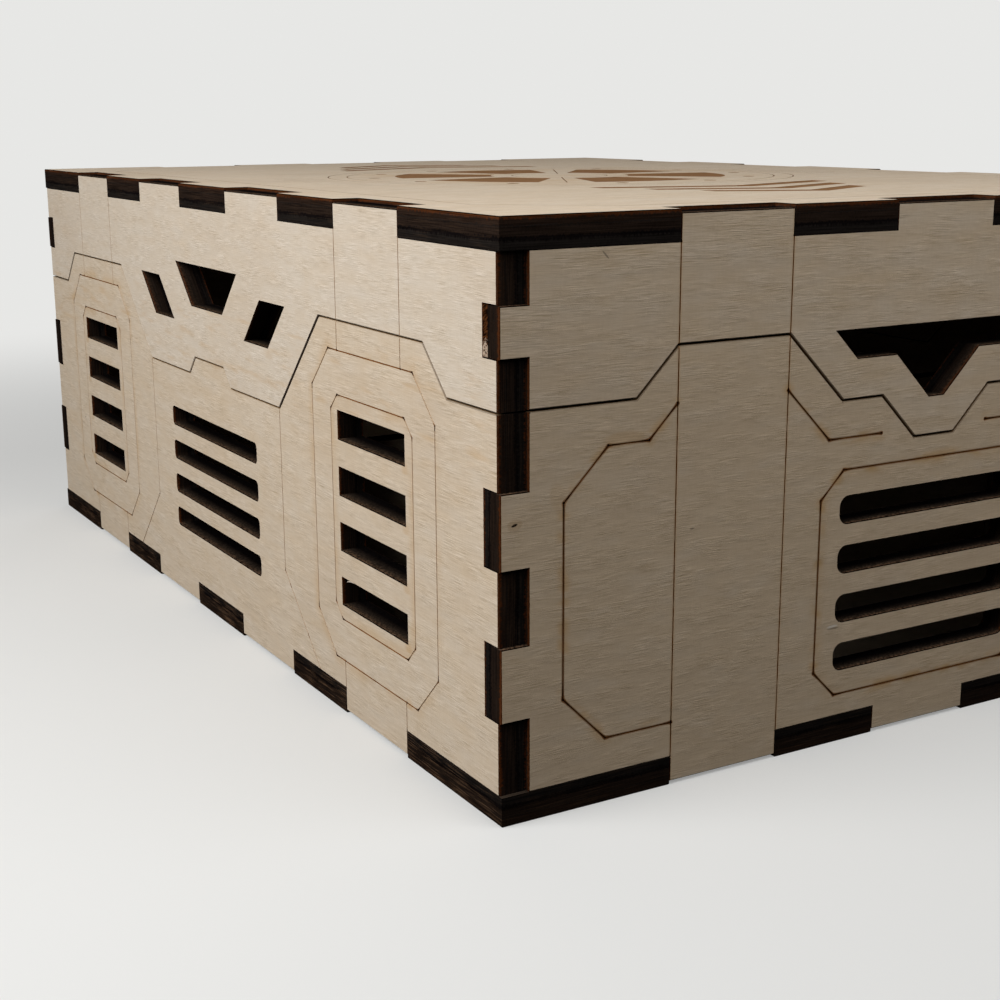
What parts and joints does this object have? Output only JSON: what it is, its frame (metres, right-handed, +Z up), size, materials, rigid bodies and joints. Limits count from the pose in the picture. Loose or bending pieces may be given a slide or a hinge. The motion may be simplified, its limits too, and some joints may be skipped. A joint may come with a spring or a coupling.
{
  "type": "game storage crate",
  "caption": "Laser-cut plywood storage crate with finger-jointed walls, a lift-off lid that meets the base on a stepped seam, slotted walls and a lift-out divider.",
  "frame": {"origin": "centre of the bottom of the crate's box, on the surface that it stands on", "axes": "+X to the right seen from the front, along the short side; +Y from the front to the back, along the long side; +Z up, the way the lid lifts"},
  "size_m": [0.142, 0.198, 0.076],
  "materials": {
    "shell_plywood": "bare pale plywood, sanded, with singed dark brown laser-cut edges and thin engraved lines",
    "lid_top_plywood": "bare pale plywood with a brown laser-engraved ornament",
    "divider_plywood": "bare pale plywood with singed edges"
  },
  "bodies": {
    "base": {"base_bottom_panel": "shell_plywood", "base_front_wall": "shell_plywood", "base_back_wall": "shell_plywood", "base_left_wall": "shell_plywood", "base_right_wall": "shell_plywood"},
    "lid": {"lid_top_panel": "lid_top_plywood", "lid_front_wall": "shell_plywood", "lid_back_wall": "shell_plywood", "lid_left_wall": "shell_plywood", "lid_right_wall": "shell_plywood"},
    "divider": {"front_cross_divider": "divider_plywood", "back_cross_divider": "divider_plywood", "lengthwise_divider": "divider_plywood"}
  },
  "joints": [
    {"name": "lid_lift", "type": "slide", "parent": "base", "child": "lid", "axis": [0, 0, 1], "range_m": [0, 0.112]},
    {"name": "divider_lift", "type": "slide", "parent": "base", "child": "divider", "axis": [0, 0, 1], "range_m": [0, 0.056]}
  ],
  "couplings": [
    {"joint": "divider_lift", "follows": "lid_lift", "ratio": 0.5}
  ]
}
